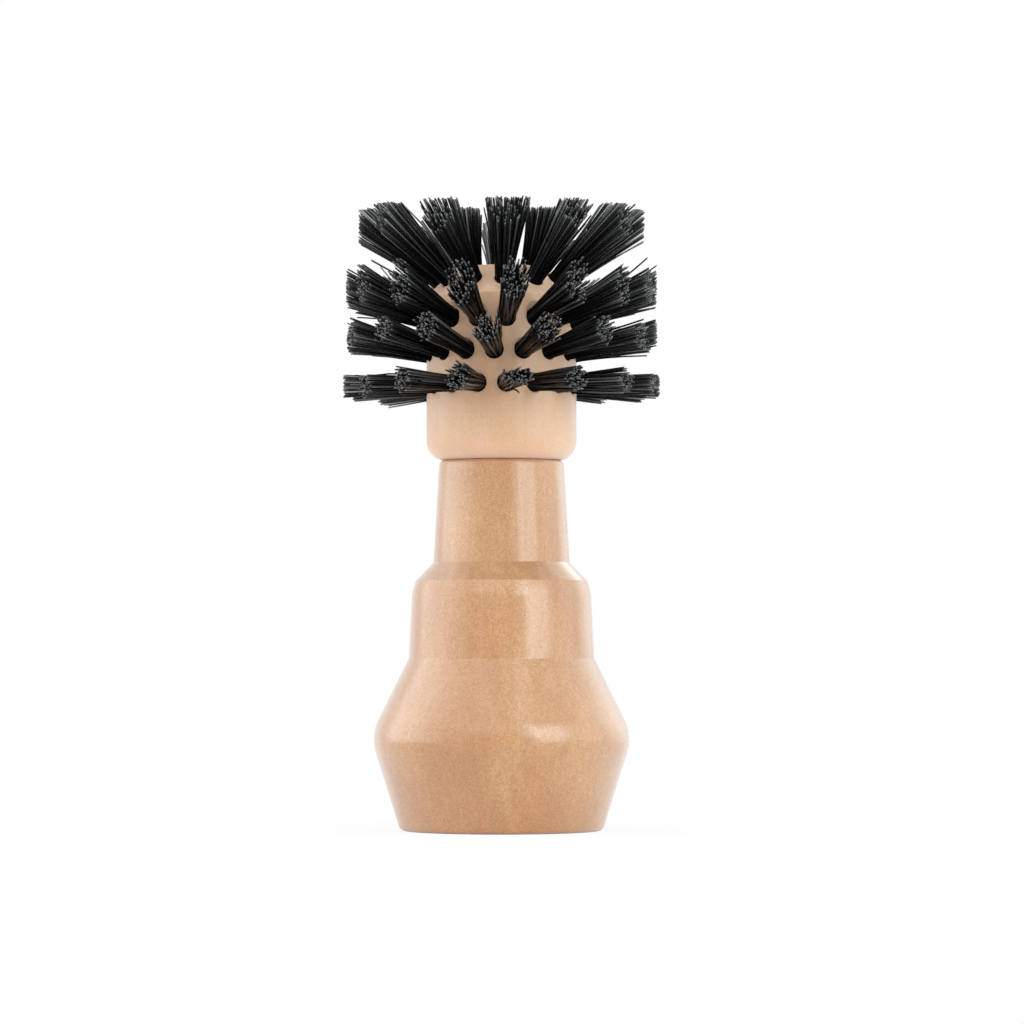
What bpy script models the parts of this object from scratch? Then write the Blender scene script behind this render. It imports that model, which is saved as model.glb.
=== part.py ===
"""Portafilter brush: a turned wooden handle, a turned wooden head that screws onto
it with a stud and an insert, and 67 tufts of stiff bristle set in holes of the head.

Units are metres and +Z is up. The brush stands on its handle, and the middle of
its flat foot is the origin. The head is placed from the handle's top and the tufts
from the head's top, so a longer handle or head carries them with it.
"""

import math
from collections import namedtuple

import bmesh
import bpy
from mathutils import Matrix, Vector

COLLECTION_NAME = "portafilter_brush"
CUTTER_COLLECTION_NAME = "cutters"

# Clearances
FIT_GAP = 0.0003
CUT_OVERRUN = 0.0010

# Handle: heights are measured from the foot
HANDLE_HEIGHT = 0.0672
FOOT_RADIUS = 0.0184
FOOT_ROUND = 0.0012
BELLY_HEIGHT = 0.0172
BELLY_CORNER_RADIUS = 0.02385
BELLY_ROUND = 0.0084
DRUM_FOOT_HEIGHT = 0.0313
DRUM_FOOT_RADIUS = 0.0169
DRUM_TOP_HEIGHT = 0.0432
DRUM_TOP_RADIUS = 0.0163
DRUM_TOP_ROUND = 0.0060
CREASE_HEIGHT = 0.0454
CREASE_RADIUS = 0.0156
NECK_FOOT_HEIGHT = 0.0487
NECK_FOOT_RADIUS = 0.0124
NECK_TOP_RADIUS = 0.01135
NECK_TOP_ROUND = 0.0006

# Head: heights are measured from its underside
HEAD_HEIGHT = 0.0349
HEAD_RADIUS = 0.01365
HEAD_UNDERSIDE_ROUND = 0.0036
HEAD_CHAMFER = 0.00525
HEAD_TOP_ROUND = 0.0004

# Screwed joint between the two
STUD_RADIUS = 0.0040
STUD_END_CHAMFER = 0.0006
STUD_HANDLE_LENGTH = 0.0180
STUD_HEAD_LENGTH = 0.0105
INSERT_LENGTH = 0.0110
INSERT_WALL = 0.0019
INSERT_FLANGE_WIDTH = 0.0012
INSERT_FLANGE_THICKNESS = 0.0010

# Tuft holes and the folded roots in them
HOLE_RADIUS = 0.00175
SIDE_HOLE_DEPTH = 0.0040
UPPER_HOLE_DEPTH = 0.0032
ROOT_STANDOUT = 0.0008
STRAND_SINK = 0.0012
STRAND_ROOT_RADIUS = 0.00036
STRAND_TIP_RADIUS = 0.00085
STRAND_RING_RADIUS = 0.00090

# Trimmed outer shape of the bristles, and how far its flat top stands over the head's
LOW_TRIM_RADIUS = 0.0290
MIDDLE_TRIM_RADIUS = 0.0285
HIGH_TRIM_RADIUS = 0.0262
CROWN_STANDOUT = 0.0108

# Rows of tufts, from the lowest up: how far the holes are below the head's top,
# and how far the tips spread across the row and along the lean
ROW1_DROP = 0.0216
ROW1_SPREAD_ACROSS = 0.0022
ROW1_SPREAD_UP = 0.0021
ROW2_DROP = 0.0156
ROW2_SPREAD_ACROSS = 0.0024
ROW2_SPREAD_UP = 0.0023
ROW3_DROP = 0.0097
ROW3_SPREAD_ACROSS = 0.0024
ROW3_SPREAD_UP = 0.0028
ROW4_SPREAD_ACROSS = 0.0028
ROW4_SPREAD_UP = 0.0040
CROWN_EDGE_DISTANCE = 0.0025
CROWN_SPREAD = 0.0022

# Ring inside the head that carries the twelve tufts of the fourth row
RING_DEPTH = 0.0024
RING_SECTION_RADIUS = 0.0007

# Angles, in degrees
ROW1_LEAN_ANGLE = 0.0
ROW2_LEAN_ANGLE = 11.0
ROW3_LEAN_ANGLE = 21.0
ROW4_LEAN_ANGLE = 40.0
CROWN_LEAN_ANGLE = 78.0
CENTRE_LEAN_ANGLE = 90.0
FRONT_ANGLE = -90.0
ROW1_TURN_ANGLE = 4.0
ROW2_TURN_ANGLE = 17.0
ROW4_TURN_ANGLE = 2.3
FULL_TURN_ANGLE = 360.0
ARC_STEP_ANGLE = 15.0
SMOOTH_EDGE_ANGLE = 30.0

# Counts
SIDE_ROW_COUNT = 16
ROW4_COUNT = 12
CROWN_COUNT = 6
RING_STRAND_COUNT = 6
STRAND_SIDES = 3
ROOT_SIDES = 6
HANDLE_STEPS = 40
HEAD_STEPS = 24
FASTENER_STEPS = 24
RING_STEPS = 24
RING_SECTION_SIDES = 4

# Largest share of a straight stretch that one rounding may take
ROUNDING_SHARE = 0.9

# Colours, as red, green and blue from 0 to 1
HANDLE_COLOUR = (0.60, 0.36, 0.19)
HEAD_COLOUR = (0.72, 0.48, 0.32)
BRISTLE_COLOUR = (0.010, 0.010, 0.011)
STEEL_COLOUR = (0.55, 0.56, 0.57)
BRASS_COLOUR = (0.66, 0.46, 0.18)

# A row of tufts: radius and height are where the hole's centre meets the head
Row = namedtuple(
    "Row",
    "name count turn radius height lean depth trim_radius spread_across spread_up",
)


def seam_height():
    """Height of the head's underside above the foot."""
    return HANDLE_HEIGHT + FIT_GAP


def tuft_rows():
    """The rows of tufts whose members are separate pieces."""
    crown_radius = HEAD_RADIUS - HEAD_CHAMFER - CROWN_EDGE_DISTANCE
    return [
        Row("tuft_row1", SIDE_ROW_COUNT, ROW1_TURN_ANGLE, HEAD_RADIUS, HEAD_HEIGHT - ROW1_DROP,
            ROW1_LEAN_ANGLE, SIDE_HOLE_DEPTH, LOW_TRIM_RADIUS,
            ROW1_SPREAD_ACROSS, ROW1_SPREAD_UP),
        Row("tuft_row2", SIDE_ROW_COUNT, ROW2_TURN_ANGLE, HEAD_RADIUS, HEAD_HEIGHT - ROW2_DROP,
            ROW2_LEAN_ANGLE, SIDE_HOLE_DEPTH, MIDDLE_TRIM_RADIUS,
            ROW2_SPREAD_ACROSS, ROW2_SPREAD_UP),
        Row("tuft_row3", SIDE_ROW_COUNT, ROW1_TURN_ANGLE, HEAD_RADIUS, HEAD_HEIGHT - ROW3_DROP,
            ROW3_LEAN_ANGLE, SIDE_HOLE_DEPTH, MIDDLE_TRIM_RADIUS,
            ROW3_SPREAD_ACROSS, ROW3_SPREAD_UP),
        Row("tuft_crown", CROWN_COUNT, 0.0, crown_radius, HEAD_HEIGHT,
            CROWN_LEAN_ANGLE, UPPER_HOLE_DEPTH, HIGH_TRIM_RADIUS,
            CROWN_SPREAD, CROWN_SPREAD),
        Row("tuft_centre", 1, 0.0, 0.0, HEAD_HEIGHT,
            CENTRE_LEAN_ANGLE, UPPER_HOLE_DEPTH, HIGH_TRIM_RADIUS,
            CROWN_SPREAD, CROWN_SPREAD),
    ]


def chamfer_row():
    """The fourth row, whose holes are in the middle of the head's chamfer."""
    return Row(
        "tufts_row4", ROW4_COUNT, ROW4_TURN_ANGLE, HEAD_RADIUS - HEAD_CHAMFER / 2,
        HEAD_HEIGHT - HEAD_CHAMFER / 2, ROW4_LEAN_ANGLE, UPPER_HOLE_DEPTH,
        HIGH_TRIM_RADIUS, ROW4_SPREAD_ACROSS, ROW4_SPREAD_UP,
    )


def clear_scene():
    """Remove every object, so that the script starts from nothing."""
    for old in list(bpy.data.objects):
        bpy.data.objects.remove(old, do_unlink=True)


def new_collection(name):
    """A collection linked to the scene."""
    made = bpy.data.collections.new(name)
    bpy.context.scene.collection.children.link(made)
    return made


def new_material(name, colour, roughness, metallic):
    """A Principled material of one colour."""
    made = bpy.data.materials.new(name)
    made.use_nodes = True
    shader = made.node_tree.nodes["Principled BSDF"]
    shader.inputs["Base Color"].default_value = (*colour, 1.0)
    shader.inputs["Roughness"].default_value = roughness
    shader.inputs["Metallic"].default_value = metallic
    return made


def new_object(name, mesh, collection, parent=None):
    """An object that holds the mesh, in the collection and on the parent."""
    made = bpy.data.objects.new(name, mesh)
    collection.objects.link(made)
    made.parent = parent
    return made


def evaluated_mesh(source, name):
    """The mesh of an object with its modifiers applied, shaded smooth between sharp edges."""
    bpy.context.view_layer.update()
    graph = bpy.context.evaluated_depsgraph_get()
    made = bpy.data.meshes.new_from_object(source.evaluated_get(graph), depsgraph=graph)
    made.name = name
    made.shade_smooth()
    made.set_sharp_from_angle(angle=math.radians(SMOOTH_EDGE_ANGLE))
    return made


def corner_arc(to_before, corner, to_after, radius, room):
    """Points of the arc that rounds a corner of an outline and takes no more than its room."""
    half_angle = to_before.angle(to_after) / 2
    tangent = min(radius / math.tan(half_angle), room)
    radius = tangent * math.tan(half_angle)
    middle_line = (to_before.normalized() + to_after.normalized()).normalized()
    centre = corner + middle_line * radius / math.sin(half_angle)
    start = corner + to_before.normalized() * tangent - centre
    turn = start.angle_signed(corner + to_after.normalized() * tangent - centre)
    steps = max(2, math.ceil(abs(turn) / math.radians(ARC_STEP_ANGLE)))
    return [centre + Matrix.Rotation(-turn * step / steps, 2) @ start for step in range(steps + 1)]


def rounded_outline(corners):
    """An outline through corners of (radius, height, rounding), with the rounded ones as arcs."""
    places = [Vector(corner[:2]) for corner in corners]
    outline = []
    for index, place in enumerate(places):
        rounding = corners[index][2]
        if rounding > 0:
            sides = []
            room = math.inf
            for neighbour in (index - 1, index + 1):
                side = places[neighbour] - place
                share = rounding / (rounding + corners[neighbour][2])
                sides.append(side)
                room = min(room, side.length * share * ROUNDING_SHARE)
            outline += corner_arc(sides[0], place, sides[1], rounding, room)
        else:
            outline.append(place)
    return outline


def turned_object(name, outline, steps, collection, closed=False):
    """A solid of revolution about Z, from an outline that runs down its outer side."""
    mesh = bpy.data.meshes.new(name)
    edges = [(index, index + 1) for index in range(len(outline) - 1)]
    if closed:
        edges.append((len(outline) - 1, 0))
    mesh.from_pydata([(point.x, 0.0, point.y) for point in outline], edges, [])
    made = new_object(name, mesh, collection)
    screw = made.modifiers.new("Turn", "SCREW")
    screw.steps = steps
    screw.render_steps = steps
    screw.use_merge_vertices = True
    screw.merge_threshold = 0.00001
    screw.use_smooth_shade = True
    return made


def hide_cutter(cutter):
    """Keep a cutter out of the model."""
    cutter.hide_render = True
    cutter.display_type = "WIRE"


def add_boolean(target, operation, other):
    """A Boolean modifier on the target."""
    modifier = target.modifiers.new(operation.title(), "BOOLEAN")
    modifier.operation = operation
    modifier.object = other


def handle_outline():
    """The handle's section: stud bore, neck, shoulder, drum, belly and foot."""
    bore_radius = STUD_RADIUS + FIT_GAP
    bore_bottom = HANDLE_HEIGHT - STUD_HANDLE_LENGTH - FIT_GAP
    return rounded_outline([
        (0.0, bore_bottom, 0.0),
        (bore_radius, bore_bottom, 0.0),
        (bore_radius, HANDLE_HEIGHT, 0.0),
        (NECK_TOP_RADIUS, HANDLE_HEIGHT, NECK_TOP_ROUND),
        (NECK_FOOT_RADIUS, NECK_FOOT_HEIGHT, 0.0),
        (CREASE_RADIUS, CREASE_HEIGHT, 0.0),
        (DRUM_TOP_RADIUS, DRUM_TOP_HEIGHT, DRUM_TOP_ROUND),
        (DRUM_FOOT_RADIUS, DRUM_FOOT_HEIGHT, 0.0),
        (BELLY_CORNER_RADIUS, BELLY_HEIGHT, BELLY_ROUND),
        (FOOT_RADIUS, 0.0, FOOT_ROUND),
        (0.0, 0.0, 0.0),
    ])


def head_outline():
    """The head's section: chamfered top, straight side, rounded underside and insert seat."""
    seat_radius = STUD_RADIUS + INSERT_WALL + 2 * FIT_GAP
    flange_radius = seat_radius + INSERT_FLANGE_WIDTH
    flange_depth = INSERT_FLANGE_THICKNESS + FIT_GAP
    seat_depth = INSERT_LENGTH + 2 * FIT_GAP
    return rounded_outline([
        (0.0, HEAD_HEIGHT, 0.0),
        (HEAD_RADIUS - HEAD_CHAMFER, HEAD_HEIGHT, HEAD_TOP_ROUND),
        (HEAD_RADIUS, HEAD_HEIGHT - HEAD_CHAMFER, HEAD_TOP_ROUND),
        (HEAD_RADIUS, 0.0, HEAD_UNDERSIDE_ROUND),
        (flange_radius, 0.0, 0.0),
        (flange_radius, flange_depth, 0.0),
        (seat_radius, flange_depth, 0.0),
        (seat_radius, seat_depth, 0.0),
        (0.0, seat_depth, 0.0),
    ])


def stud_outline():
    """The stud's section, with its two ends chamfered."""
    bottom = -STUD_HANDLE_LENGTH
    return rounded_outline([
        (0.0, STUD_HEAD_LENGTH, 0.0),
        (STUD_RADIUS - STUD_END_CHAMFER, STUD_HEAD_LENGTH, 0.0),
        (STUD_RADIUS, STUD_HEAD_LENGTH - STUD_END_CHAMFER, 0.0),
        (STUD_RADIUS, bottom + STUD_END_CHAMFER, 0.0),
        (STUD_RADIUS - STUD_END_CHAMFER, bottom, 0.0),
        (0.0, bottom, 0.0),
    ])


def insert_outline():
    """The insert's section: a flanged sleeve round the stud, as a closed loop."""
    bore_radius = STUD_RADIUS + FIT_GAP
    outer_radius = bore_radius + INSERT_WALL
    flange_radius = outer_radius + INSERT_FLANGE_WIDTH
    return rounded_outline([
        (bore_radius, INSERT_LENGTH, 0.0),
        (outer_radius, INSERT_LENGTH, 0.0),
        (outer_radius, INSERT_FLANGE_THICKNESS, 0.0),
        (flange_radius, INSERT_FLANGE_THICKNESS, 0.0),
        (flange_radius, 0.0, 0.0),
        (bore_radius, 0.0, 0.0),
    ])


def tuft_frame(row):
    """The hole's mouth and the directions out of it, across it and up it, at zero turn."""
    lean = math.radians(row.lean)
    mouth = Vector((row.radius, 0.0, row.height))
    outward = Vector((math.cos(lean), 0.0, math.sin(lean)))
    across = Vector((0.0, 1.0, 0.0))
    return mouth, outward, across, outward.cross(across)


def placed_cylinder(mesh, radius, start, end, sides):
    """Add a closed cylinder between two points to a bmesh."""
    along = end - start
    turn = along.to_track_quat("Z", "Y").to_matrix().to_4x4()
    bmesh.ops.create_cone(
        mesh, cap_ends=True, segments=sides, radius1=radius, radius2=radius,
        depth=along.length, matrix=Matrix.Translation((start + end) / 2) @ turn,
    )


def reach_to_trim(point, direction, trim_radius):
    """Distance along a direction from a point to the trimmed outer shape of the bristles."""
    to_side = math.inf
    level = direction.x ** 2 + direction.y ** 2
    if level > 0:
        half = (point.x * direction.x + point.y * direction.y) / level
        rest = (point.x ** 2 + point.y ** 2 - trim_radius ** 2) / level
        to_side = math.sqrt(half ** 2 - rest) - half
    to_top = math.inf
    if direction.z > 0:
        to_top = (HEAD_HEIGHT + CROWN_STANDOUT - point.z) / direction.z
    return min(to_side, to_top)


def strand_offsets():
    """Where the strands of a tuft stand, as shares of its spread across and up."""
    offsets = [Vector((0.0, 0.0))]
    for index in range(RING_STRAND_COUNT):
        angle = math.tau * index / RING_STRAND_COUNT
        offsets.append(Vector((math.cos(angle), math.sin(angle))))
    return offsets


def add_strand(mesh, start, direction, trim_radius):
    """Add one tapering bristle strand whose tip lies on the trimmed outer shape."""
    length = reach_to_trim(start, direction, trim_radius)
    turn = direction.to_track_quat("Z", "Y").to_matrix().to_4x4()
    middle = start + direction * length / 2
    made = bmesh.ops.create_cone(
        mesh, cap_ends=True, segments=STRAND_SIDES, radius1=STRAND_ROOT_RADIUS,
        radius2=STRAND_TIP_RADIUS, depth=length, matrix=Matrix.Translation(middle) @ turn,
    )
    for corner in made["verts"]:
        if (corner.co - middle).dot(direction) > 0:
            corner.co += direction * reach_to_trim(corner.co, direction, trim_radius)


def tuft_strands(row):
    """The strands of one tuft, as a mesh of closed bodies that fan out from its root."""
    mouth, outward, across, up = tuft_frame(row)
    root_end = mouth + outward * ROOT_STANDOUT
    full_length = reach_to_trim(root_end, outward, row.trim_radius)
    strands = bmesh.new()
    for offset in strand_offsets():
        near = (across * offset.x + up * offset.y) * STRAND_RING_RADIUS
        far = across * offset.x * row.spread_across + up * offset.y * row.spread_up
        direction = (outward * full_length + far - near).normalized()
        start = root_end + near - direction * STRAND_SINK
        add_strand(strands, start, direction, row.trim_radius)
    mesh = bpy.data.meshes.new(row.name + "_strands")
    strands.to_mesh(mesh)
    strands.free()
    return mesh


def tuft_root(row):
    """The folded root of one tuft, a plug that fills its hole."""
    mouth, outward, _, _ = tuft_frame(row)
    plug = bmesh.new()
    placed_cylinder(
        plug, HOLE_RADIUS - FIT_GAP, mouth - outward * (row.depth - FIT_GAP),
        mouth + outward * ROOT_STANDOUT, ROOT_SIDES,
    )
    mesh = bpy.data.meshes.new(row.name + "_root")
    plug.to_mesh(mesh)
    plug.free()
    return mesh


def tuft_mesh(row, cutters):
    """One whole tuft at zero turn: its root joined with its strands."""
    root = new_object(row.name + "_root", tuft_root(row), cutters)
    strands = new_object(row.name + "_strands", tuft_strands(row), cutters)
    hide_cutter(root)
    hide_cutter(strands)
    add_boolean(root, "UNION", strands)
    return evaluated_mesh(root, row.name)


def turn_of(row, index):
    """The rotation about Z that takes a tuft from zero turn to its place in the row."""
    return math.radians(FRONT_ANGLE + row.turn + FULL_TURN_ANGLE * index / row.count)


def copies_mesh(row, source):
    """All copies of a tuft in its row, as one mesh at zero row turn."""
    together = bmesh.new()
    for index in range(row.count):
        copy = source.copy()
        copy.transform(Matrix.Rotation(math.tau * index / row.count, 4, "Z"))
        together.from_mesh(copy)
        bpy.data.meshes.remove(copy)
    mesh = bpy.data.meshes.new(row.name + "_copies")
    together.to_mesh(mesh)
    together.free()
    return mesh


def ring_object(name, row, section_radius, collection):
    """A ring round Z that passes behind the mouths of a row's holes."""
    mouth, outward, _, _ = tuft_frame(row)
    centre = mouth - outward * RING_DEPTH
    bpy.ops.mesh.primitive_torus_add(
        major_segments=RING_STEPS, minor_segments=RING_SECTION_SIDES,
        major_radius=centre.x, minor_radius=section_radius,
    )
    made = bpy.context.object
    made.name = name
    for holder in list(made.users_collection):
        holder.objects.unlink(made)
    collection.objects.link(made)
    made.data.transform(Matrix.Translation((0.0, 0.0, centre.z)))
    return made


def hole_cutter(rows, cutters):
    """All tuft holes as one cutter, in the head's own heights."""
    holes = bmesh.new()
    for row in rows:
        mouth, outward, _, _ = tuft_frame(row)
        for index in range(row.count):
            turn = Matrix.Rotation(turn_of(row, index), 3, "Z")
            placed_cylinder(
                holes, HOLE_RADIUS, turn @ (mouth - outward * row.depth),
                turn @ (mouth + outward * CUT_OVERRUN), ROOT_SIDES,
            )
    mesh = bpy.data.meshes.new("tuft_holes")
    holes.to_mesh(mesh)
    holes.free()
    made = new_object("tuft_holes", mesh, cutters)
    hide_cutter(made)
    return made


def make_handle(parts, cutters):
    """The turned handle, from its foot to the seam."""
    blank = turned_object("handle_blank", handle_outline(), HANDLE_STEPS, cutters)
    hide_cutter(blank)
    made = new_object("handle", evaluated_mesh(blank, "handle"), parts)
    made.data.materials.append(new_material("lacquered_beech", HANDLE_COLOUR, 0.3, 0.0))


def make_head(parts, cutters, axis):
    """The turned head with its holes and the seat of the fourth row's ring."""
    row4 = chamfer_row()
    blank = turned_object("head_blank", head_outline(), HEAD_STEPS, cutters)
    hide_cutter(blank)
    add_boolean(blank, "DIFFERENCE", hole_cutter(tuft_rows() + [row4], cutters))
    seat = ring_object("ring_seat", row4, RING_SECTION_RADIUS + FIT_GAP, cutters)
    seat.rotation_euler.z = turn_of(row4, 0)
    hide_cutter(seat)
    add_boolean(blank, "DIFFERENCE", seat)
    made = new_object("brush_head", evaluated_mesh(blank, "brush_head"), parts, axis)
    made.data.materials.append(new_material("pale_beech", HEAD_COLOUR, 0.45, 0.0))


def make_screw_joint(parts, cutters, axis):
    """The stud in the handle and the insert in the head."""
    stud_blank = turned_object("stud_blank", stud_outline(), FASTENER_STEPS, cutters)
    hide_cutter(stud_blank)
    stud = new_object("threaded_stud", evaluated_mesh(stud_blank, "threaded_stud"), parts)
    stud.location.z = HANDLE_HEIGHT
    stud.data.materials.append(new_material("zinc_steel", STEEL_COLOUR, 0.35, 1.0))
    insert_blank = turned_object("insert_blank", insert_outline(), FASTENER_STEPS, cutters, True)
    hide_cutter(insert_blank)
    insert = new_object("head_insert", evaluated_mesh(insert_blank, "head_insert"), parts, axis)
    insert.location.z = FIT_GAP
    insert.data.materials.append(new_material("brass", BRASS_COLOUR, 0.35, 1.0))


def make_tufts(parts, cutters, axis):
    """Every separate tuft, and the fourth row with its ring."""
    bristle = new_material("black_bristle", BRISTLE_COLOUR, 0.4, 0.0)
    for row in tuft_rows():
        mesh = tuft_mesh(row, cutters)
        mesh.materials.append(bristle)
        for index in range(row.count):
            name = row.name if row.count == 1 else f"{row.name}_{index + 1:02d}"
            made = new_object(name, mesh, parts, axis)
            made.rotation_euler.z = turn_of(row, index)
    row4 = chamfer_row()
    copies = new_object("row4_copies", copies_mesh(row4, tuft_mesh(row4, cutters)), cutters)
    hide_cutter(copies)
    ring = ring_object("row4_ring", row4, RING_SECTION_RADIUS, cutters)
    hide_cutter(ring)
    add_boolean(ring, "UNION", copies)
    made = new_object(row4.name, evaluated_mesh(ring, row4.name), parts, axis)
    made.rotation_euler.z = turn_of(row4, 0)
    made.data.materials.append(bristle)


def main():
    clear_scene()
    parts = new_collection(COLLECTION_NAME)
    cutters = new_collection(CUTTER_COLLECTION_NAME)
    axis = new_object("head_axis", None, parts)
    axis.location.z = seam_height()
    make_handle(parts, cutters)
    make_head(parts, cutters, axis)
    make_screw_joint(parts, cutters, axis)
    make_tufts(parts, cutters, axis)


main()
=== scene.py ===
"""Looks of the portafilter brush: finely turned handle and head, single bristle
filaments in every tuft, wood, nylon and metal finishes, studio light and camera.

Metres, +Z up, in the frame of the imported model. The camera looks along +Y.
"""

import math
from collections import namedtuple

import bmesh
import bpy
import numpy as np
from mathutils import Matrix, Vector


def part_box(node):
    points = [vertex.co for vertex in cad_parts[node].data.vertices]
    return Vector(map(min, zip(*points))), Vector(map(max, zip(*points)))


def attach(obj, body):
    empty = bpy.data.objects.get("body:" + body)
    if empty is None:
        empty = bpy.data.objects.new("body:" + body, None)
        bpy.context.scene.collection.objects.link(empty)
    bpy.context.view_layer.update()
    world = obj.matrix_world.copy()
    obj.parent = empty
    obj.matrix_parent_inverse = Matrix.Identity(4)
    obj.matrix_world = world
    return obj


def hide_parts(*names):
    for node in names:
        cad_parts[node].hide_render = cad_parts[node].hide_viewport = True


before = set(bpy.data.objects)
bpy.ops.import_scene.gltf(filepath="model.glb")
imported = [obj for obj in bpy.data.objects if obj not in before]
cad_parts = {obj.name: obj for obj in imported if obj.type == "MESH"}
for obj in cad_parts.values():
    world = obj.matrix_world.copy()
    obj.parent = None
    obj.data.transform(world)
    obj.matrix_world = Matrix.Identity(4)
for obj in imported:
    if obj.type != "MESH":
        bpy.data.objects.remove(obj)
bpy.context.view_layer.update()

# Handle: heights are measured from the foot
NECK_TOP_RADIUS = 0.01135
NECK_TOP_ROUND = 0.0008
NECK_FOOT_RADIUS = 0.0124
NECK_FOOT_HEIGHT = 0.0487
NECK_FOOT_ROUND = 0.0001
CREASE_RADIUS = 0.0156
CREASE_HEIGHT = 0.0454
CREASE_ROUND = 0.0004
DRUM_TOP_RADIUS = 0.0163
DRUM_TOP_HEIGHT = 0.0432
DRUM_TOP_ROUND = 0.0060
DRUM_FOOT_RADIUS = 0.0169
DRUM_FOOT_HEIGHT = 0.0313
DRUM_FOOT_ROUND = 0.00025
BELLY_CORNER_RADIUS = 0.02385
BELLY_HEIGHT = 0.0172
BELLY_ROUND = 0.0084
FOOT_RADIUS = 0.0184
FOOT_ROUND = 0.0012
STUD_BORE_RADIUS = 0.0043
STUD_BORE_DEPTH = 0.0183

# Head, and the seats cut into it from below
SEAM_GAP = 0.00002
HEAD_UNDERSIDE_ROUND = 0.0036
HEAD_CHAMFER = 0.00525
HEAD_EDGE_ROUND = 0.0005
INSERT_SEAT_RADIUS = 0.0065
INSERT_SEAT_DEPTH = 0.0116
FLANGE_SEAT_RADIUS = 0.0077
FLANGE_SEAT_DEPTH = 0.0013

# Holes of the tufts
HOLE_RADIUS = 0.00175
HOLE_DEPTH = 0.0030
HOLE_RIM = 0.00015
CUT_OVERRUN = 0.0010

# Trimmed outer shape of the bristles
LOW_TRIM_RADIUS = 0.0290
MIDDLE_TRIM_RADIUS = 0.0285
HIGH_TRIM_RADIUS = 0.0262

# Rows of tufts, from the lowest up: how far the holes are below the head's top,
# and how far the tips spread across the row and along the lean
ROW1_DROP = 0.0216
ROW1_SPREAD_ACROSS = 0.0022
ROW1_SPREAD_UP = 0.0023
ROW2_DROP = 0.0156
ROW2_SPREAD_ACROSS = 0.0024
ROW2_SPREAD_UP = 0.0025
ROW3_DROP = 0.0097
ROW3_SPREAD_ACROSS = 0.0026
ROW3_SPREAD_UP = 0.0035
ROW4_SPREAD_ACROSS = 0.0033
ROW4_SPREAD_UP = 0.0046
CROWN_EDGE_DISTANCE = 0.0025
CROWN_SPREAD = 0.0028

# Angles of the rows, in degrees
ROW1_LEAN_ANGLE = 0.0
ROW2_LEAN_ANGLE = 11.0
ROW3_LEAN_ANGLE = 21.0
ROW4_LEAN_ANGLE = 40.0
CROWN_LEAN_ANGLE = 78.0
CENTRE_LEAN_ANGLE = 90.0
FRONT_ANGLE = -90.0
ROW1_TURN_ANGLE = 4.0
ROW2_TURN_ANGLE = 17.0
ROW4_TURN_ANGLE = 2.3

# Counts of tufts in a row
SIDE_ROW_COUNT = 16
ROW4_COUNT = 12
CROWN_COUNT = 6

# Filaments: they stand close in their hole and fan out, and each thins a little to its cut end
FILAMENTS_PER_TUFT = 88
FILAMENT_SIDES = 6
FILAMENT_RADIUS = 0.000178
FILAMENT_END_RADIUS = 0.000152
BUNDLE_RADIUS = 0.00148
ROOT_DEPTH = 0.0020
BEVEL_SHARE = 0.30
BEVEL_HEIGHT = 0.00006
LEAST_CUT_SLOPE = 0.45
FAN_POWER = 1.2
GOLDEN_ANGLE = math.pi * (3 - math.sqrt(5))

# Where along a filament its centre line has points and its tube has rings, as shares of its reach:
# the first ring is at the root, and the last one makes the bevel
POINT_SHARES = (0.0, 0.2, 0.45, 0.7, 1.0)
RING_SHARES = (0.0, *POINT_SHARES, 1.0)

# How unlike one another the tufts and their filaments are
SEED = 58
LEAN_SCATTER = math.radians(1.2)
SPREAD_SCATTER_SHARE = 0.08
PLACE_SCATTER_SHARE = 0.03
CLUMP_COUNT = 7
CLUMP_PLACE_SHARE = 0.75
CLUMP_SHARE = 0.28
TIP_SCATTER = 0.00028
BEND_SCATTER = 0.00008
CUT_SCATTER = 0.00032
CUT_TILT = 0.6
STRAY_SHARE = 0.015
STRAY_REACH = 0.0012
STRAY_BEND = 0.0007

# Tufts that the photograph shows off their even places or spreads: extra lean across and up,
# in degrees, and how far they spread across and up, as shares of their row's spread
Nudge = namedtuple("Nudge", "lean_across lean_up across_share up_share", defaults=(0.0, 0.0, 1.0, 1.0))
NUDGES = {
    "filaments_row1_14": Nudge(7.5),
    "filaments_row1_15": Nudge(8.0, 0.5),
    "filaments_row1_16": Nudge(6.0, -0.5),
    "filaments_row1_01": Nudge(4.5, 0.5, 1.8, 0.75),
    "filaments_row1_02": Nudge(2.5, 0.5),
    "filaments_row1_03": Nudge(4.0),
    "filaments_row1_04": Nudge(3.0),
    "filaments_row2_13": Nudge(0.0, 2.0),
    "filaments_row2_14": Nudge(2.0, 2.0),
    "filaments_row2_15": Nudge(-1.5, 0.5),
    "filaments_row2_02": Nudge(3.0, 0.5),
    "filaments_row2_03": Nudge(4.0, 1.0),
    "filaments_row2_04": Nudge(0.0, 2.0),
    "filaments_row3_15": Nudge(0.0, -0.6, 1.0, 1.35),
    "filaments_row3_16": Nudge(7.0, -1.0, 1.15),
    "filaments_row3_02": Nudge(4.0, -0.5),
    "filaments_row3_03": Nudge(4.5),
    "filaments_row4_01": Nudge(1.5, 1.0, 1.25),
    "filaments_crown_01": Nudge(7.0, 0.0, 1.5),
    "filaments_crown_04": Nudge(-5.0, 0.0, 1.5),
}

# Threaded stud and insert
THREAD_PITCH = 0.00125
THREAD_DEPTH = 0.00065
THREAD_STEEPNESS = 1.6
THREAD_ROOT_SHARE = 0.25
THREAD_SIDES = 48
THREAD_STEPS_PER_TURN = 10
STUD_CHAMFER = 0.0006
INSERT_LENGTH = 0.0110
INSERT_RADIUS = 0.0062
INSERT_EDGE = 0.0002
FLANGE_RADIUS = 0.0074
FLANGE_THICKNESS = 0.0010

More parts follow.
